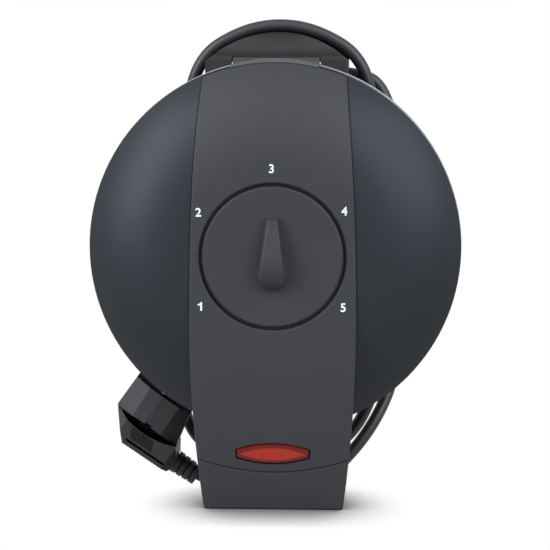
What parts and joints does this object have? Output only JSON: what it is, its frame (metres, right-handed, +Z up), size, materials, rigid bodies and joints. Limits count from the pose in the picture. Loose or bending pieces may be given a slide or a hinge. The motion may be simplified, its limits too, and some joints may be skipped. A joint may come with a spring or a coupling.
{
  "type": "waffle maker",
  "caption": "Round table-top waffle maker for heart-shaped waffles, stored upright on its handle ends with a dial, a domed lid on a top hinge and its lead looped behind.",
  "frame": {"origin": "on the floor under the end of the base's handle, in the middle of the width, close to the plane where the lid meets the base", "axes": "+X to the viewer's right, +Y from the lid towards the feet, +Z up from the handle's end towards the hinge, with the appliance stood upright as it is stored"},
  "size_m": [0.2194, 0.1088, 0.2858],
  "materials": {
    "wings": "satin moulded plastic, bluish grey",
    "panel": "fine-grained matt plastic, dark grey",
    "block": "matt heat-resistant plastic, brownish dark grey",
    "tray": "satin moulded plastic, dark grey",
    "rim": "satin grey metal ring",
    "bright_rim": "bright rolled metal edge",
    "plate": "cast, with a dark non-stick coating",
    "element": "heat-dulled steel tube",
    "pan": "pressed sheet, bright",
    "control": "cream phenolic moulding",
    "steel": "zinc-plated steel",
    "lens": "clear red plastic with moulded ribs",
    "lamp": "small glow lamp",
    "rubber": "soft black rubber",
    "lead": "smooth dark grey sheath",
    "plug": "moulded dark grey plastic",
    "pins": "nickel-plated brass"
  },
  "bodies": {
    "base": {"base_shell": "tray", "base_rim": "bright_rim", "lower_plate_ring": "plate", "lower_heart_plate": "plate", "lower_element": "element", "lower_reflector": "pan", "hinge_block": "block", "hinge_pins": "steel", "base_handle": "panel", "cord_store": "block", "feet": "rubber", "terminal_block": "control", "plug_park_socket": "block", "base_screws": "steel", "cord_gland": "rubber", "cord_clamp": "block", "power_cord": "lead", "plug_body": "plug", "plug_boot": "lead", "plug_pins": "pins", "plug_earth_clips": "pins"},
    "lid": {"lid_shell": "wings", "centre_panel": "panel", "lid_rim": "rim", "hinge_tongue": "rim", "lid_handle_cover": "panel", "cover_screws": "steel", "lid_screws": "steel", "upper_plate_ring": "plate", "upper_heart_plate": "plate", "upper_element": "element", "upper_reflector": "pan", "thermostat_body": "control", "thermostat_bracket": "steel", "thermal_fuse": "steel", "indicator_lens": "lens", "lamp_holder": "control", "indicator_lamp": "lamp"},
    "knob": {"dial_knob": "panel", "thermostat_spindle": "steel", "knob_spring_clip": "steel"}
  },
  "joints": [
    {"name": "lid_hinge", "type": "hinge", "parent": "base", "child": "lid", "pos_m": [0, 0.006, 0.2588], "axis": [-1, 0, 0], "range_deg": [0, 100]},
    {"name": "dial_turn", "type": "hinge", "parent": "lid", "child": "knob", "pos_m": [0, -0.0392, 0.1494], "axis": [0, 1, 0], "range_deg": [-125, 125]}
  ]
}
